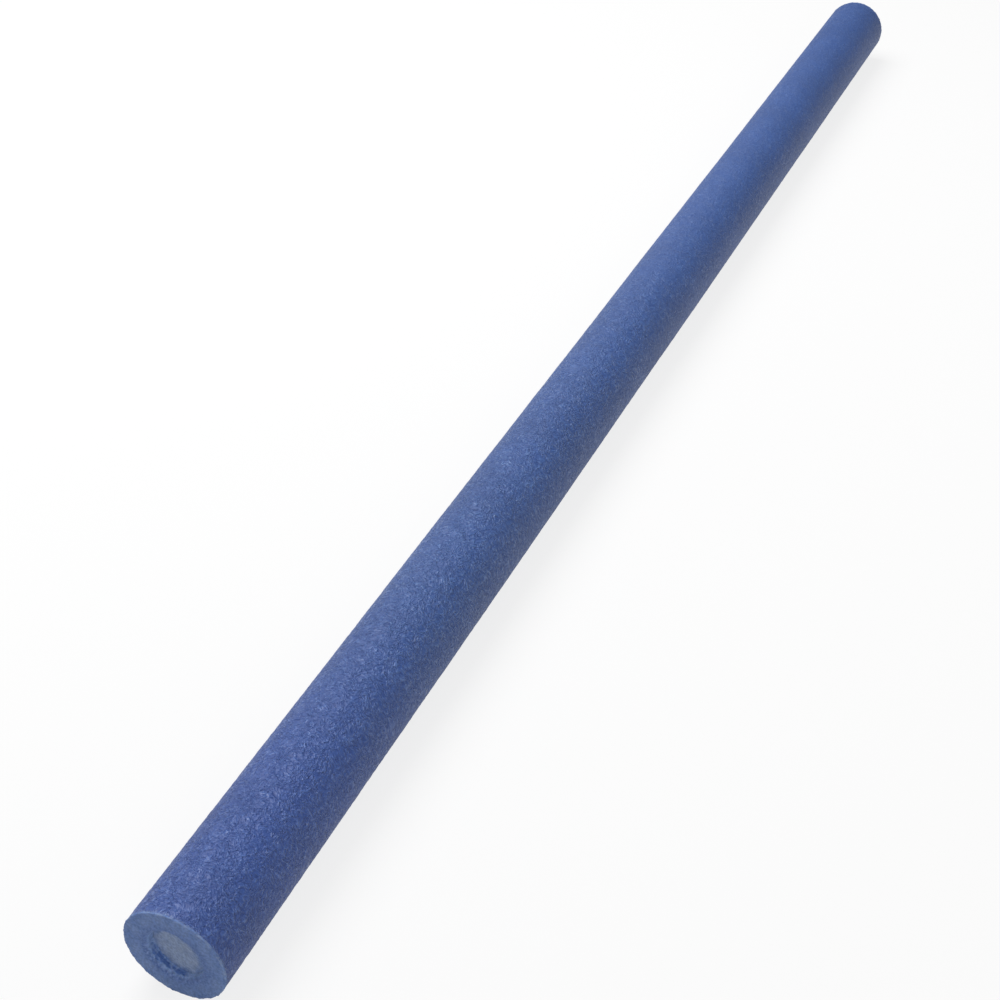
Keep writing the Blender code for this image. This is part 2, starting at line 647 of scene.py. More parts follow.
@dataclass(frozen=True)
class BoreWall:
    """The wall of the bore: darkened at its lip like the cut (painted shade), paler deeper in (painted
    light), and torn into hollows on one side, darkened with painted shade.
    """

    lip: Colour = MOUTH_SHADE_BLUE
    # painted light: the wall grows paler deeper in the bore, against the shade of the recess
    blue: Colour = (0.220, 0.330, 0.590)
    light_lift_depth: Span = (0.3 * MM, 2.2 * MM)
    pale: Colour = (0.260, 0.345, 0.580)
    fine_size: float = 1.1 * MM
    fine_share: float = 0.25
    fine_rise: float = 0.3
    bend: Bend = (3.0 * MM, 1.8 * MM)
    streak_size: float = 1.7 * MM
    streak_span: Span = (0.54, 0.64)
    streak_torn: Span = (0.0, 0.35)
    streak_share: float = 0.6
    # painted shade in the torn hollows
    hollow_shade: Colour = (0.066, 0.146, 0.410)
    hollow_size: float = 2.6 * MM
    hollow_reach: float = 2.2
    hollow_depth: Span = (0.6 * MM, 2.8 * MM)
    hollow_span: Span = (0.62, 1.15)
    hollow_torn: Span = (0.0, 0.3)
    hollow_least: float = 0.1
    hollow_shade_share: float = 0.75
    hollow_drop: float = 0.7
    roughness: float = 0.8
    specular: float = 0.2
    softness: float = 0.7
    relief: float = 0.20 * MM

    def hollows(self, board: Board, bent: Socket, torn: Socket) -> Socket:
        """Makes dark hollows where the wall is torn: painted shade, which grows deeper into the bore.

        Args:
            board: The finish's nodes.
            bent: Positions that they follow.
            torn: How torn the wall is.

        Returns:
            Their share at each point, 1 in a hollow.
        """
        deep = board.spread(board.off_end(), self.hollow_depth)
        uneven = board.uneven(bent, self.hollow_size, Detail.ROUGH, self.hollow_reach)
        hollows = board.spread(board.sum(board.product(torn, deep), uneven), self.hollow_span)
        return board.product(hollows, board.spread(torn, self.hollow_torn, (self.hollow_least, 1.0)))

    def material(self) -> bpy.types.Material:
        """Builds its nodes.

        Returns:
            The material.
        """
        board = Board("bore_wall")
        place = board.place()
        torn = board.mark("torn")
        bent = board.swirl(place, self.bend)
        fine = board.clouds(place, self.fine_size, Detail.ROUGH)
        hollows = self.hollows(board, bent, torn)
        # painted shade at the lip, turning to painted light deeper in the bore
        colour = board.blend(board.spread(board.off_end(), self.light_lift_depth), self.lip, self.blue)
        colour = board.blend(board.product(fine, self.fine_share), colour, self.pale)
        colour = board.mottled(colour, place)
        streaks = board.spread(board.grain(bent, self.streak_size, Detail.SOFT), self.streak_span)
        streaks = board.product(streaks, board.spread(torn, self.streak_torn))
        colour = board.blend(board.product(streaks, self.streak_share), colour, self.pale)
        # painted shade in the torn hollows
        colour = board.blend(board.product(hollows, self.hollow_shade_share), colour, self.hollow_shade)
        height = board.sum(board.product(hollows, -self.hollow_drop), board.product(fine, self.fine_rise))
        return board.finish(colour, self.roughness, height, self.relief, self.specular, self.softness)


@dataclass(frozen=True)
class PaleCore:
    """The core: pale, dull foam with a rough torn end and a few dark specks, darkened along its rim with
    painted shade.
    """

    pale: Colour = (0.255, 0.325, 0.480)
    shade: Colour = (0.170, 0.240, 0.430)
    cloud_size: float = 5.0 * MM
    cloud_share: float = 0.45
    cloud_rise: float = 0.5
    cells: OpenedCells = OpenedCells(size=0.9 * MM, bend=(2.0 * MM, 0.4 * MM), dark_span=(0.0, 0.5))
    cell_rise: float = 0.5
    # painted shade along the core's rim next to the bore wall, wider on one side where the pale patch sits
    # aside
    edge: Colour = (0.112, 0.182, 0.400)
    rim_shade_band: Span = (4.4 * MM, 0.4 * MM)  # painted shade: in from the core's radius, where the pale patch ends and the rim darkens next to the bore wall
    rim_shade_share: float = 0.8
    patch_aside: Point = (0.0, 1.4 * MM, -1.8 * MM)
    patch_size: float = 3.2 * MM
    patch_wander: float = 7.0 * MM
    speck: Colour = (0.065, 0.110, 0.280)
    speck_gap: float = 3.6 * MM
    speck_bend: Bend = (3.0 * MM, 2.0 * MM)
    speck_span: Span = (0.08, 0.20)
    speck_least: float = 0.35
    speck_share: float = 0.75
    roughness: float = 0.88
    specular: float = 0.2
    softness: float = 0.7
    relief: float = 0.12 * MM

    def material(self) -> bpy.types.Material:
        """Builds its nodes.

        Returns:
            The material.
        """
        board = Board("pale_core")
        place = board.place()
        opened = self.cells.drawn(board, place)
        cloud = board.clouds(place, self.cloud_size, Detail.FINE)
        wander = board.uneven(place, self.patch_size, Detail.FINE, self.patch_wander)
        off_patch = board.sum(board.off_axis(self.patch_aside), wander)
        start, end = (CORE_RADIUS - inward for inward in self.rim_shade_band)
        by_edge = board.spread(off_patch, (start, end))
        # dark specks, strongest by the rim, where they are painted shade of the gap along the bore wall
        specks = board.pits(board.swirl(place, self.speck_bend), self.speck_gap)
        specks = board.spread(specks, self.speck_span, FALLING)
        specks = board.product(specks, board.spread(by_edge, RISING, (self.speck_least, 1.0)))
        colour = board.blend(board.product(cloud, self.cloud_share), self.pale, self.shade)
        # painted shade along the rim
        colour = board.blend(board.product(by_edge, self.rim_shade_share), colour, self.edge)
        colour = self.cells.over(board, opened, colour, self.shade)
        colour = board.blend(board.product(specks, self.speck_share), colour, self.speck)
        height = board.sum(board.product(opened, self.cell_rise), board.product(cloud, self.cloud_rise))
        colour = board.mottled(colour, place)
        return board.finish(colour, self.roughness, height, self.relief, self.specular, self.softness)


# Turned meshes


@dataclass(frozen=True)
class Ring:
    """One ring of a turned surface: where it stands, and which way is out."""

    x: float
    radius: float
    out_x: float
    out_radius: float
    zone: Zone = Zone.SKIN


def arc(centre: Spot, radius: float, start: float, steps: int, zone: Zone) -> list[Ring]:
    """Rings on a quarter circle of the profile, clockwise.

    Args:
        centre: Its centre.
        radius: Its radius.
        start: The angle that it starts from, in degrees.
        steps: How many steps it takes.
        zone: The zone of its rings.

    Returns:
        The rings, with both ends.
    """
    rings = []
    for step in range(steps + 1):
        angle = math.radians(start - QUARTER_TURN * step / steps)
        along, across = math.cos(angle), math.sin(angle)
        rings.append(Ring(centre[0] + radius * along, centre[1] + radius * across, along, across, zone))
    return rings


def straight(start: Spot, end: Spot, steps: int, zone: Zone) -> list[Ring]:
    """Rings between two points of the profile, without the two.

    Args:
        start: The first point.
        end: The second point. Out is on the left of the way to it.
        steps: How many steps it takes.
        zone: The zone of its rings.

    Returns:
        The rings, one fewer than the steps.
    """
    length = math.dist(start, end)
    along, across = (end[0] - start[0]) / length, (end[1] - start[1]) / length
    rings = []
    for step in range(1, steps):
        share = step / steps
        x, radius = start[0] + length * along * share, start[1] + length * across * share
        rings.append(Ring(x, radius, -across, along, zone))
    return rings


def mirrored(rings: list[Ring]) -> list[Ring]:
    """The same rings at the noodle's other end, in the order that carries the profile on."""
    return [Ring(-r.x, r.radius, -r.out_x, r.out_radius, r.zone) for r in reversed(rings)]


class Turning:
    """A surface turned about X: rings along a profile, and sides round the axis."""

    def __init__(self, rings: list[Ring], sides: int) -> None:
        """Lays out the vertices.

        Args:
            rings: The profile's rings, clockwise.
            sides: How many sides each ring has.
        """
        self.rings = rings
        self.sides = sides
        self.x = np.array([ring.x for ring in rings])
        self.radius = np.array([ring.radius for ring in rings])
        self.out_x = np.array([ring.out_x for ring in rings])
        self.out_radius = np.array([ring.out_radius for ring in rings])
        self.points = self.spun(self.x, self.radius)
        self.out = self.spun(self.out_x, self.out_radius)

    def spun(self, along: Values, across: Values) -> Values:
        """Turns values of each ring about the axis.

        Args:
            along: Each ring's value along the axis.
            across: Each ring's value across it.

        Returns:
            Rows of x, y, z for every ring and side.
        """
        angle = UNDERSIDE + np.arange(self.sides) * math.tau / self.sides
        grid = np.empty((len(along), self.sides, 3))
        grid[:, :, 0] = along[:, None]
        grid[:, :, 1] = across[:, None] * np.cos(angle)
        grid[:, :, 2] = across[:, None] * np.sin(angle)
        return grid.reshape(-1, 3)

    def each(self, ring_values: Values) -> Values:
        """A value of each ring, repeated for its vertices."""
        return np.repeat(ring_values, self.sides)

    def band(self, first: int, second: int) -> Values:
        """Makes the faces between two rings.

        Args:
            first: The first ring's number.
            second: The next ring's number.

        Returns:
            The four corners of each face, facing out.
        """
        side = np.arange(self.sides)
        after = (side + 1) % self.sides
        low, high = first * self.sides, second * self.sides
        return np.stack((low + side, low + after, high + after, high + side), 1)

    def shares(self) -> Values:
        """How far round each corner of a band's faces stands, from 0 to 1."""
        side = np.arange(self.sides)
        return np.stack((side, side + 1, side + 1, side), 1) / self.sides

    def reach(self, count: int, hole: float, radius: float) -> Values:
        """How far out on a disc of the flat map the first rings go.

        Args:
            count: How many rings go there.
            hole: The first ring's distance from the middle, before the disc is brought to size.
            radius: The disc's size on the map.

        Returns:
            Each ring's distance from the disc's middle.
        """
        steps = np.hypot(np.diff(self.x[:count]), np.diff(self.radius[:count]))
        reach = np.concatenate(([0.0], np.cumsum(steps))) + hole
        return reach * radius / reach[-1]


@dataclass(frozen=True)
class Sheet:
    """Where a band of faces goes on the flat map: a strip, or a disc round a centre."""

    left: float
    bottom: float
    height: float = 0.0

    def strip(self, turning: Turning, near: float, far: float) -> Values:
        """Lays a band on a strip.

        Args:
            turning: The surface.
            near: How far along the strip the band starts.
            far: How far along it the band ends.

        Returns:
            The place of each corner of each face.
        """
        along = self.left + np.array((near, near, far, far))
        across = self.bottom + turning.shares() * self.height
        return np.stack((np.broadcast_to(along, across.shape), across), 2)

    def disc(self, turning: Turning, near: float, far: float) -> Values:
        """Lays a band on a disc.

        Args:
            turning: The surface.
            near: Radius at which the band starts.
            far: Radius at which it ends.

        Returns:
            The place of each corner of each face.
        """
        radius = np.array((near, near, far, far))
        angle = turning.shares() * math.tau
        return np.stack((self.left + radius * np.cos(angle), self.bottom + radius * np.sin(angle)), 2)


@dataclass(frozen=True)
class FlatMap:
    """A piece's flat map: a disc for each end, and a strip for the length that is out of sight."""

    near_disc: Sheet
    far_disc: Sheet
    disc_hole: float
    disc_radius: float
    hidden: Sheet
    hidden_length: float

    def ends(self, turning: Turning, count: int) -> tuple[list[Values], list[Values]]:
        """Lays out both ends.

        Args:
            turning: The surface.
            count: How many rings an end has.

        Returns:
            The places of the near end's bands, and of the far end's.
        """
        reach = turning.reach(count, self.disc_hole, self.disc_radius)
        near = [self.near_disc.disc(turning, reach[i], reach[i + 1]) for i in range(count - 1)]
        far = [self.far_disc.disc(turning, reach[i], reach[i - 1]) for i in range(count - 1, 0, -1)]
        return near, far

    def hidden_bands(self, turning: Turning, count: int) -> list[Values]:
        """The places of the bands that are out of sight."""
        width = self.hidden_length / count
        return [self.hidden.strip(turning, i * width, (i + 1) * width) for i in range(count)]


def make_piece(name: str, points: Values, faces: list[list[int]], places: Values) -> bpy.types.Object:
    """Makes a smooth object that lies on the floor.

    Args:
        name: The object's name.
        points: Vertex positions, with the noodle's axis along X through the origin.
        faces: Vertex numbers of each face.
        places: Rows of u, v for each corner of each face, in order, on the map for the finish.

    Returns:
        The object.
    """
    raised = points + np.array((0.0, 0.0, AXIS_HEIGHT))
    raised[:, 2] = np.maximum(raised[:, 2], 0.0)
    mesh = bpy.data.meshes.new(name)
    mesh.from_pydata(raised.tolist(), [], faces)
    layer = mesh.uv_layers.new(name=MAP_NAME)
    layer.uv.foreach_set("vector", places.astype(np.float32).ravel())
    mesh.shade_smooth()
    piece = bpy.data.objects.new(name, mesh)
    bpy.context.scene.collection.objects.link(piece)
    return piece


def keep_values(piece: bpy.types.Object, name: str, values: Values) -> None:
    """Stores a value for each vertex, for the materials to read."""
    mark = piece.data.attributes.new(name, "FLOAT", "POINT")
    mark.data.foreach_set("value", values.astype(np.float32))


def join_frame(piece: bpy.types.Object, node: str) -> None:
    """Declares a foam piece to the frame, and reports it.

    Args:
        piece: The piece, which rides on the noodle's one body.
        node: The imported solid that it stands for.
    """
    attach(piece, BODY)
    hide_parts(node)
    LOG.info("%s: %d vertices, %d faces", piece.name, len(piece.data.vertices), len(piece.data.polygons))


# The noodle's two pieces


def towards(points: Values, side: float) -> Values:
    """How far each point lies from the axis towards one side, whose angle is in degrees."""
    angle = math.radians(side)
    return points[:, 1] * math.cos(angle) + points[:, 2] * math.sin(angle)


@dataclass(frozen=True)
class FoamFace:
    """The relief of a cut or torn face: slow swells, a fine grain and opened cells."""

    swell: Layer
    grain: Layer
    cell_size: float
    cell_depth: float

    def push(self, points: Values) -> Values:
        """How far it moves each point out."""
        opened = (1.0 - cells(points, self.cell_size)) * self.cell_depth
        return self.swell.push(points) + self.grain.push(points) - opened


@dataclass(frozen=True)
class CoreFace:
    """Where the core's slanting end face lies behind the cut face of the tube."""

    slant: float = 2.2 * MM
    deepest_side: float = -25.0

    def depth(self, points: Values) -> Values:
        """How deep the core's edge lies on the way from the axis through each point.

        Args:
            points: Rows of x, y, z in metres, with the axis along X through the origin.

        Returns:
            A depth behind the cut face for each point.
        """
        from_axis = np.maximum(np.hypot(points[:, 1], points[:, 2]), NEAR_AXIS)
        deeper = self.slant * (1.0 + towards(points, self.deepest_side) / from_axis)
        return HALF_LENGTH - CORE_HALF_LENGTH + deeper

    def sheared(self, points: Values) -> Values:
        """The core's points, with both of its ends sheared to that slant."""
        deeper = self.slant * (1.0 + towards(points, self.deepest_side) / CORE_RADIUS)
        return np.column_stack((points[:, 0] - np.sign(points[:, 0]) * deeper, points[:, 1], points[:, 2]))


@dataclass(frozen=True)
class SkinRelief:
    """The skin's shape that the mesh carries: long waves, soft lumps and bent wrinkles."""

    long_waves: Layer = Layer(230.0 * MM, 0.16 * MM, 2)
    soft_lumps: Layer = Layer(26.0 * MM, 0.10 * MM, 2, 5.0)
    bend: Layer = Layer(9.0 * MM, 1.0, 1, 9.0)
    bend_reach: Point = (4.0 * MM, 2.5 * MM, -2.5 * MM)
    broad: Layer = Layer(2.8 * MM, 1.0, 1, 3.0)
    broad_span: Span = (-0.30, 0.35)
    broad_share: float = 0.6
    fine: Layer = Layer(1.9 * MM, 1.0, 1, 7.0)
    fine_span: Span = (-0.35, 0.40)
    wrinkle_height: float = 0.24 * MM
    wrinkle_middle: float = 0.5

    def wrinkles(self, points: Values) -> Values:
        """How high each point lies on a wrinkle.

        Args:
            points: Positions on the skin.

        Returns:
            A height from 0 to 1 for each point.
        """
        bent = points + self.bend.push(points)[:, None] * np.array(self.bend_reach)
        broad = smooth_step(self.broad.push(bent), *self.broad_span)
        fine = smooth_step(self.fine.push(bent), *self.fine_span)
        return self.broad_share * broad + (1.0 - self.broad_share) * fine

    def push(self, points: Values, wrinkle: Values) -> Values:
        """How far the skin stands out from a true cylinder at each point."""
        slow = self.long_waves.push(points) + self.soft_lumps.push(points)
        return slow + (wrinkle - self.wrinkle_middle) * self.wrinkle_height


@dataclass(frozen=True)
class EndRelief:
    """The shape of a cut end that the mesh carries: its face, its frayed outer edge and the bore's wall."""

    core_face: CoreFace = CoreFace()
    bore_gap: float = 0.3 * MM
    face: FoamFace = FoamFace(
        swell=Layer(16.0 * MM, 0.22 * MM, 2, 1.0),
        grain=Layer(1.8 * MM, 0.05 * MM, 2, 4.0),
        cell_size=2.4 * MM,
        cell_depth=0.10 * MM,
    )
    face_reach: float = 1.0 * MM
    face_edge: float = 1.5 * MM
    edge_width: float = 0.7 * MM
    edge_depth: float = 0.9 * MM
    burr: Layer = Layer(2.2 * MM, 1.0, 3, 8.0)
    burr_height: float = 0.5 * MM
    burr_level: float = 0.1
    burr_least: float = -0.2
    wall: Layer = Layer(3.6 * MM, 0.30 * MM, 3, 6.0)
    wall_reach: Span = (CORE_RADIUS + 1.0 * MM, CORE_RADIUS + 3.5 * MM)
    closing: Span = (1.5 * MM, 0.7 * MM)  # how far before the core's edge the wall closes up to it
    core_clearance: float = 0.08 * MM
    torn_side: float = 302.0
    torn_span: Span = (0.40, 0.9)
    torn_reach: Span = (CORE_RADIUS + 1.0 * MM, CORE_RADIUS + 3.6 * MM)
    hole_size: float = 3.0 * MM
    hole_span: Span = (-0.75, -0.2)
    hole_depth: Span = (0.35 * MM, 0.9 * MM)  # everywhere, and how much more at a hole's middle

    def torn(self, points: Values, radius: Values) -> Values:
        """How torn the bore is at each point, from 0 to 1: most on one side."""
        sideways = towards(points, self.torn_side) / np.maximum(radius, NEAR_AXIS)
        return smooth_step(sideways, *self.torn_span) * (1.0 - smooth_step(radius, *self.torn_reach))

    def frayed(self, points: Values, deep: Values, radius: Values) -> Values:
        """How far the cut's outer edge stands out.

        Args:
            points: Positions on the even surface.
            deep: How far each lies behind the cut face.
            radius: Each point's distance from the axis.

        Returns:
            A distance for each point.
        """
        off_edge = ((radius - TUBE_RADIUS) / self.edge_width) ** 2 + (deep / self.edge_depth) ** 2
        burr = (self.burr.push(points) + self.burr_level).clip(self.burr_least)
        return np.exp(-off_edge) * burr * self.burr_height

    def push(self, points: Values, deep: Values, radius: Values, torn: Values) -> Values:
        """How far a cut end stands out from its even surface.

        Args:
            points: Positions on the even surface.
            deep: How far each lies behind the cut face.
            radius: Each point's distance from the axis.
            torn: How torn the bore is at each, from 0 to 1.

        Returns:
            A distance for each point.
        """
        on_face = smooth_step(-deep, -self.face_reach, 0.0)
        on_face = on_face * smooth_step(TUBE_RADIUS - radius, 0.0, self.face_edge)
        core_edge = self.core_face.depth(points)
        by_core = smooth_step(deep, *(core_edge - ahead for ahead in self.closing))
        wall = self.wall.push(points)
        wall = wall + by_core * (self.bore_gap - self.core_clearance - wall)
        in_bore = 1.0 - smooth_step(radius, *self.wall_reach)
        even, more = self.hole_depth
        holes = smooth_step(-cells(points, self.hole_size), *self.hole_span) * more + even
        pushed = on_face * self.face.push(points) + in_bore * wall - torn * holes * (1.0 - by_core)
        return pushed + self.frayed(points, deep, radius)


@dataclass
class FoamTube:
    """The blue tube: wrinkled skin, two knife-cut faces and the wall of the bore."""

    sides: int = 288
    seen_bore: float = 8.0 * MM  # how far into the bore the mesh is fine
    edge_round: float = 0.5 * MM
    edge_steps: int = 4
    lip_round: float = 3.2 * MM
    lip_steps: int = 16
    least_lip: float = 0.5 * MM
    lip_share: float = 0.8  # of the core's depth, where that is less than the lip's rounding
    lip_fade: float = 6.0 * MM  # how far up the cut face that change reaches
    face_step: float = 0.65 * MM
    wall_step: float = 0.3 * MM
    end_step: float = 0.65 * MM
    middle_step: float = 1.4 * MM
    graded: float = 300.0 * MM  # over which the steps grow from an end's to the middle's
    hidden_bands: int = 12
    skin_depth: float = 0.3 * MM  # how far under the tube's radius the skin's relief begins
    skin_start: float = 1.2 * MM  # how far from the cut it is full
    skin_strips: int = 3
    strip_gap: float = 6.0 * MM
    map_side: float = 640.0 * MM
    flat_map: FlatMap = FlatMap(
        near_disc=Sheet(573.0 * MM, 70.0 * MM),
        far_disc=Sheet(573.0 * MM, 200.0 * MM),
        disc_hole=9.0 * MM,
        disc_radius=58.0 * MM,
        hidden=Sheet(515.0 * MM, 275.0 * MM, 355.0 * MM),
        hidden_length=118.0 * MM,
    )
    skin_relief: SkinRelief = SkinRelief()
    end_relief: EndRelief = EndRelief()
    skin: WrinkledSkin = WrinkledSkin()
    cut: KnifeCut = KnifeCut()
    wall: BoreWall = BoreWall()

    def skin_rings(self) -> list[Ring]:
        """Makes the rings between the two outer edges.

        Returns:
            The rings, closer together towards the ends.
        """
        reach = HALF_LENGTH - self.edge_round
        stations = [0.0]
        while stations[-1] < reach:
            share = min(1.0, (reach - stations[-1]) / self.graded)
            stations.append(stations[-1] + self.end_step + (self.middle_step - self.end_step) * share)
        half = [x * reach / stations[-1] for x in stations[1:-1]]
        stations = [-x for x in reversed(half)] + [0.0] + half
        return [Ring(x, TUBE_RADIUS, 0.0, 1.0) for x in stations]

    def near_rings(self) -> list[Ring]:
        """Makes the near end: out of the bore, over its lip, up the cut face and round the outer edge.

        Returns:
            The rings.
        """
        end, inner, outer = -HALF_LENGTH, self.bore_radius(), TUBE_RADIUS
        lip, edge = self.lip_round, self.edge_round
        start = (end + self.seen_bore, inner)
        rings = [Ring(*start, 0.0, -1.0, Zone.BORE)]
        wall_steps = round((self.seen_bore - lip) / self.wall_step)
        rings += straight(start, (end + lip, inner), wall_steps, Zone.BORE)
        rings += arc((end + lip, inner + lip), lip, TO_AXIS, self.lip_steps, Zone.BORE)
        face_steps = round((outer - edge - inner - lip) / self.face_step)
        rings += straight((end, inner + lip), (end, outer - edge), face_steps, Zone.CUT)
        rings += arc((end + edge, outer - edge), edge, OUT_OF_END, self.edge_steps, Zone.CUT)
        return rings

    def bore_radius(self) -> float:
        """How far the bore's wall lies from the axis."""
        return CORE_RADIUS + self.end_relief.bore_gap

    def rings(self) -> list[Ring]:
        """Makes the whole closed profile.

        Returns:
            The rings, clockwise from the near end of the bore.
        """
        near = self.near_rings()
        far = mirrored(near)
        start, end = (far[-1].x, far[-1].radius), (near[0].x, near[0].radius)
        return near + self.skin_rings() + far + straight(start, end, self.hidden_bands, Zone.BORE)

    def lipped(self, turning: Turning) -> Values:
        """Rounds the bore's lip less where the core comes close to the cut.

        Args:
            turning: The even surface, whose lip has its full rounding all the way round.

        Returns:
            The points.
        """
        points = turning.points.copy()
        deep = turning.each(HALF_LENGTH - np.abs(turning.x))
        radius = turning.each(turning.radius)
        core_depth = self.end_relief.core_face.depth(points)
        wanted = np.clip(core_depth * self.lip_share, self.least_lip, self.lip_round)
        less = (self.lip_round - wanted) * (deep < self.seen_bore)
        up_face = (radius - self.bore_radius() - self.lip_round) / self.lip_fade
        into_bore = (deep - self.lip_round) / (self.seen_bore - self.lip_round)
        less *= (1.0 - np.clip(up_face, 0.0, 1.0)) * (1.0 - np.clip(into_bore, 0.0, 1.0))
        narrower = 1.0 - less * (1.0 + turning.each(turning.out_radius)) / radius
        mouthward = less * (1.0 - turning.each(np.abs(turning.out_x)))
        points[:, 0] += np.sign(points[:, 0]) * mouthward
        return points * np.column_stack((np.ones(len(points)), narrower, narrower))

    def roughened(self, turning: Turning) -> tuple[Values, Values, Values]:
        """Roughens the turned surface.

        Args:
            turning: The even surface.

        Returns:
            The vertex positions, and for each vertex how high it lies on a wrinkle and how torn it is.
        """
        points = self.lipped(turning)
        deep = HALF_LENGTH - np.abs(points[:, 0])
        radius = np.hypot(points[:, 1], points[:, 2])
        outside = smooth_step(radius, TUBE_RADIUS - self.skin_depth, TUBE_RADIUS)
        outside = outside * smooth_step(deep, 0.0, self.skin_start)
        wrinkle = self.skin_relief.wrinkles(points)
        push = outside * self.skin_relief.push(points, wrinkle)
        torn = self.end_relief.torn(points, radius) * (deep < self.seen_bore)
        ends = np.flatnonzero(deep < self.seen_bore)
        push[ends] += self.end_relief.push(points[ends], deep[ends], radius[ends], torn[ends])
        return points + turning.out * push[:, None], wrinkle, torn

    def skin_place(self, turning: Turning, band: int) -> Values:
        """Lays a band of skin on one of the map's strips.

        Args:
            turning: The surface.
            band: The number of the band's first ring.

        Returns:
            The place of each corner of each face.
        """
        near, far = turning.x[band], turning.x[band + 1]
        length, girth = 2 * HALF_LENGTH / self.skin_strips, math.tau * TUBE_RADIUS
        row = min(int(((near + far) / 2 + HALF_LENGTH) / length), self.skin_strips - 1)
        start = row * length - HALF_LENGTH
        sheet = Sheet(self.strip_gap, self.strip_gap + row * (girth + self.strip_gap), girth)
        return sheet.strip(turning, near - start, far - start)

    def places(self, turning: Turning) -> Values:
        """Lays every face on the flat map.

        Args:
            turning: The surface.

        Returns:
            Rows of u, v for each corner of each face, in order.
        """
        near_count, skin_count = len(self.near_rings()), len(self.skin_rings())
        near, far = self.flat_map.ends(turning, near_count)
        first = near_count - 1
        skin = [self.skin_place(turning, band) for band in range(first, near_count + skin_count)]
        hidden = self.flat_map.hidden_bands(turning, self.hidden_bands)
        return np.concatenate(near + skin + far + hidden).reshape(-1, 2) / self.map_side

    def build(self) -> bpy.types.Object:
        """Makes the tube.

        Returns:
            The object, dressed and joined to the frame.
        """
        turning = Turning(self.rings(), self.sides)
        points, wrinkle, torn = self.roughened(turning)
        count = len(turning.rings)
        faces = np.concatenate([turning.band(i, (i + 1) % count) for i in range(count)])
        piece = make_piece("noodle_foam", points, faces.tolist(), self.places(turning))
        for finish in (self.skin, self.cut, self.wall):
            piece.data.materials.append(finish.material())
        zones = [ring.zone.value for ring in turning.rings]
        bands = [max(pair) for pair in zip(zones, zones[1:] + zones[:1])]
        piece.data.polygons.foreach_set("material_index", np.repeat(bands, self.sides).astype(np.int32))
        keep_values(piece, "wrinkle", wrinkle)
        keep_values(piece, "torn", torn)
        join_frame(piece, "foam_tube")
        return piece


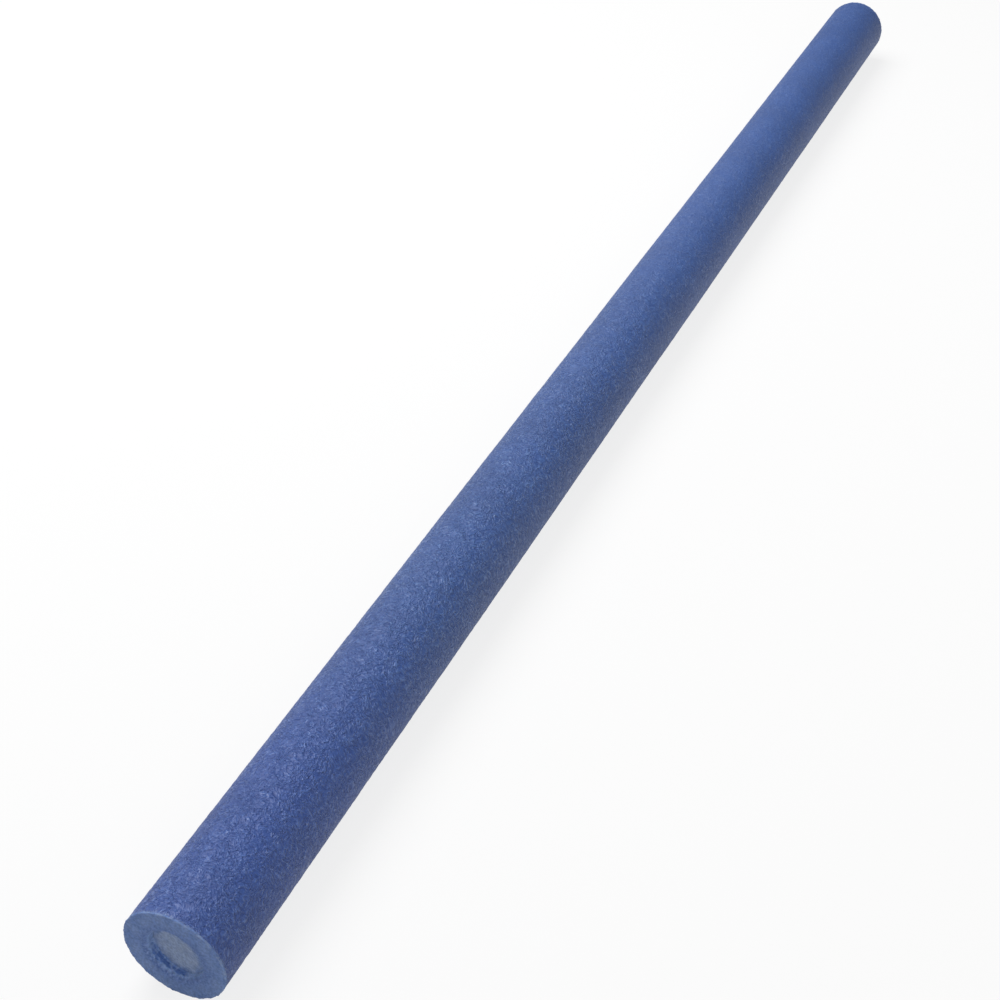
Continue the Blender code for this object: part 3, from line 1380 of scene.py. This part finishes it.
@dataclass
class FoamCore:
    """The pale core: a plain rod in the bore with a rough, slightly ragged end at each side."""

    sides: int = 216
    edge_round: float = 0.12 * MM
    edge_steps: int = 4
    face_step: float = 0.4 * MM
    side_bands: int = 10
    middle: float = 0.3 * MM  # radius of the small flat face that closes each end
    face: FoamFace = FoamFace(
        swell=Layer(9.0 * MM, 0.25 * MM, 2, 1.5),
        grain=Layer(1.7 * MM, 0.10 * MM, 3, 3.0),
        cell_size=2.0 * MM,
        cell_depth=0.12 * MM,
    )
    face_reach: float = 2.0 * MM
    most_push: float = 0.15 * MM
    raised_edge: float = 0.9 * MM
    raised_width: float = 1.8 * MM
    raised_depth: Span = (0.8 * MM, 2.6 * MM)  # how deep the core has to lie for its edge to rise
    raised_share: float = 0.75
    unevenness: Layer = Layer(3.4 * MM, 0.5, 2, 7.0)
    most_uneven: float = 0.25
    core_face: CoreFace = CoreFace()
    flat_map: FlatMap = FlatMap(
        near_disc=Sheet(0.25, 0.25),
        far_disc=Sheet(0.75, 0.25),
        disc_hole=middle,
        disc_radius=0.24,
        hidden=Sheet(0.02, 0.52, 0.46),
        hidden_length=0.96,
    )
    finish: PaleCore = PaleCore()

    def near_rings(self) -> list[Ring]:
        """Makes the near end, from close to the axis out to the side.

        Returns:
            The rings.
        """
        end, edge = -CORE_HALF_LENGTH, self.edge_round
        rim = CORE_RADIUS - edge
        rings = [Ring(end, self.middle, -1.0, 0.0)]
        steps = round((rim - self.middle) / self.face_step)
        rings += straight((end, self.middle), (end, rim), steps, Zone.SKIN)
        rings += arc((end + edge, rim), edge, OUT_OF_END, self.edge_steps, Zone.SKIN)
        return rings

    def roughened(self, turning: Turning) -> Values:
        """Slants and roughens the ends, and raises their edge along the wall.

        Args:
            turning: The even rod.

        Returns:
            The vertex positions.
        """
        points = turning.points
        deep = turning.each(CORE_HALF_LENGTH - np.abs(turning.x))
        on_face = smooth_step(-deep, -self.face_reach, 0.0)
        push = self.face.push(points).clip(max=self.most_push) * on_face
        sheared = self.core_face.sheared(points) + turning.out * push[:, None]
        uneven = self.unevenness.push(points).clip(-self.most_uneven, self.most_uneven)
        by_edge = (turning.each(turning.radius) - CORE_RADIUS) / self.raised_width + 1.0
        raised = by_edge.clip(0.0) ** 2 * (self.raised_share + uneven)
        raised *= smooth_step(self.core_face.depth(points), *self.raised_depth) * self.raised_edge
        sheared[:, 0] += np.sign(sheared[:, 0]) * raised * on_face
        return sheared

    def places(self, turning: Turning, near_count: int) -> Values:
        """Lays every face on the flat map.

        Args:
            turning: The surface.
            near_count: How many rings an end has.

        Returns:
            Rows of u, v for each corner of each face, in order.
        """
        near, far = self.flat_map.ends(turning, near_count)
        hidden = self.flat_map.hidden_bands(turning, self.side_bands)
        bands = np.concatenate(near + hidden + far).reshape(-1, 2)
        around = np.arange(self.sides) * math.tau / self.sides
        reach = turning.reach(near_count, self.flat_map.disc_hole, self.flat_map.disc_radius)
        cap = np.stack((np.cos(around), np.sin(around)), 1) * reach[0]
        near_disc, far_disc = self.flat_map.near_disc, self.flat_map.far_disc
        near_cap = cap[::-1] + np.array((near_disc.left, near_disc.bottom))
        far_cap = cap + np.array((far_disc.left, far_disc.bottom))
        return np.concatenate((bands, near_cap, far_cap))

    def build(self) -> bpy.types.Object:
        """Makes the core.

        Returns:
            The object, dressed and joined to the frame.
        """
        near = self.near_rings()
        far = mirrored(near)
        start, end = (near[-1].x, CORE_RADIUS), (far[0].x, CORE_RADIUS)
        rings = near + straight(start, end, self.side_bands, Zone.SKIN) + far
        turning = Turning(rings, self.sides)
        last = len(rings) - 1
        faces = np.concatenate([turning.band(i, i + 1) for i in range(last)]).tolist()
        side = np.arange(self.sides)
        faces.append(side[::-1].tolist())
        faces.append((side + last * self.sides).tolist())
        piece = make_piece("core_foam", self.roughened(turning), faces, self.places(turning, len(near)))
        piece.data.materials.append(self.finish.material())
        join_frame(piece, "foam_core")
        return piece


# Studio


@dataclass(frozen=True)
class Lamp:
    """A soft round lamp that faces the noodle's middle."""

    name: str
    place: Point
    size: float
    power: float

    def hang(self) -> None:
        """Puts it in the scene."""
        data = bpy.data.lights.new(self.name, "AREA")
        data.shape = "DISK"
        data.size = self.size
        data.energy = self.power
        lamp = bpy.data.objects.new(self.name, data)
        lamp.location = self.place
        lamp.rotation_euler = (-Vector(self.place)).to_track_quat("-Z", "Y").to_euler()
        bpy.context.scene.collection.objects.link(lamp)


@dataclass(frozen=True)
class Studio:
    """A plain pale floor, a soft lamp overhead and one in front, a faint sky and the camera."""

    floor_size: float = 16.0
    floor_drop: float = 0.1 * MM
    floor_seen: float = 0.85
    floor_bounce: float = 0.50
    floor_roughness: float = 0.9
    floor_specular: float = 0.1
    white_seen: float = 0.80
    white_reflected: float = 0.60
    sky_strength: float = 0.25
    backdrop: float = 0.96
    overhead: Lamp = Lamp("overhead_lamp", place=(0.30, 0.95, 2.10), size=1.9, power=53.0)
    front: Lamp = Lamp("front_lamp", place=(-5.60, -2.60, 3.30), size=5.5, power=145.0)
    camera_place: Point = (-1.19395, -0.39000, 0.76111)
    camera_forward: Point = (0.73310, 0.32472, -0.59759)
    camera_clip: Span = (0.05, 60.0)
    lens_mm: float = 58.93
    sensor_mm: float = 36.0

    def paper(self) -> bpy.types.Material:
        """Builds the floor's finish: part white light where it is seen or reflected, so pale in shadow too.

        Returns:
            The material.
        """
        board = Board("floor_paper")
        board.shader.inputs["Roughness"].default_value = self.floor_roughness
        board.shader.inputs["Specular IOR Level"].default_value = self.floor_specular
        glow = board.add("Emission", {"Color": WHITE, "Strength": 1.0})
        path = board.add("LightPath").outputs
        seen = board.sum(path["Is Camera Ray"], path["Is Glossy Ray"])
        colour = board.blend(seen, (self.floor_bounce,) * 3, (self.floor_seen,) * 3)
        board.feed(board.shader.inputs["Base Color"], colour)
        white_seen = board.product(path["Is Camera Ray"], self.white_seen)
        white_reflected = board.product(path["Is Glossy Ray"], self.white_reflected)
        share = board.sum(white_seen, white_reflected)
        both = board.add("MixShader", {0: share, 1: board.shader.outputs[0], 2: glow.outputs[0]})
        board.feed(board.output.inputs["Surface"], both.outputs[0])
        board.material.cycles.emission_sampling = "NONE"
        return board.material

    def floor(self) -> None:
        """Lays the floor."""
        half = self.floor_size / 2
        corners = [(-half, -half), (half, -half), (half, half), (-half, half)]
        mesh = bpy.data.meshes.new("studio_floor")
        mesh.from_pydata([(x, y, -self.floor_drop) for x, y in corners], [], [(0, 1, 2, 3)])
        mesh.materials.append(self.paper())
        floor = bpy.data.objects.new("studio_floor", mesh)
        bpy.context.scene.collection.objects.link(floor)

    def sky(self) -> None:
        """Makes even light from all round, and a pale backdrop for the camera."""
        world = bpy.data.worlds.new("studio_sky")
        world.use_nodes = True
        tree = world.node_tree
        lit, seen = tree.nodes["Background"], tree.nodes.new("ShaderNodeBackground")
        for background, strength in ((lit, self.sky_strength), (seen, self.backdrop)):
            background.inputs["Color"].default_value = WHITE
            background.inputs["Strength"].default_value = strength
        path = tree.nodes.new("ShaderNodeLightPath")
        both = tree.nodes.new("ShaderNodeMixShader")
        tree.links.new(path.outputs["Is Camera Ray"], both.inputs[0])
        tree.links.new(lit.outputs[0], both.inputs[1])
        tree.links.new(seen.outputs[0], both.inputs[2])
        tree.links.new(both.outputs[0], tree.nodes["World Output"].inputs["Surface"])
        bpy.context.scene.world = world

    def camera(self) -> None:
        """Sets up the camera, above and behind the near end, looking down along the noodle."""
        data = bpy.data.cameras.new("main_camera")
        data.lens = self.lens_mm
        data.sensor_width = self.sensor_mm
        data.clip_start, data.clip_end = self.camera_clip
        camera = bpy.data.objects.new("main_camera", data)
        camera.location = self.camera_place
        camera.rotation_mode = "QUATERNION"
        camera.rotation_quaternion = Vector(self.camera_forward).to_track_quat("-Z", "Y")
        bpy.context.scene.collection.objects.link(camera)
        bpy.context.scene.camera = camera

    def build(self) -> None:
        """Sets up everything round the noodle."""
        self.floor()
        self.overhead.hang()
        self.front.hang()
        self.sky()
        self.camera()
        bpy.context.scene.view_settings.view_transform = "Standard"


def main() -> None:
    """Builds the studio and the noodle's two pieces."""
    logging.basicConfig(level=logging.INFO)
    Studio().build()
    FoamTube().build()
    FoamCore().build()


if __name__ == "__main__":
    main()
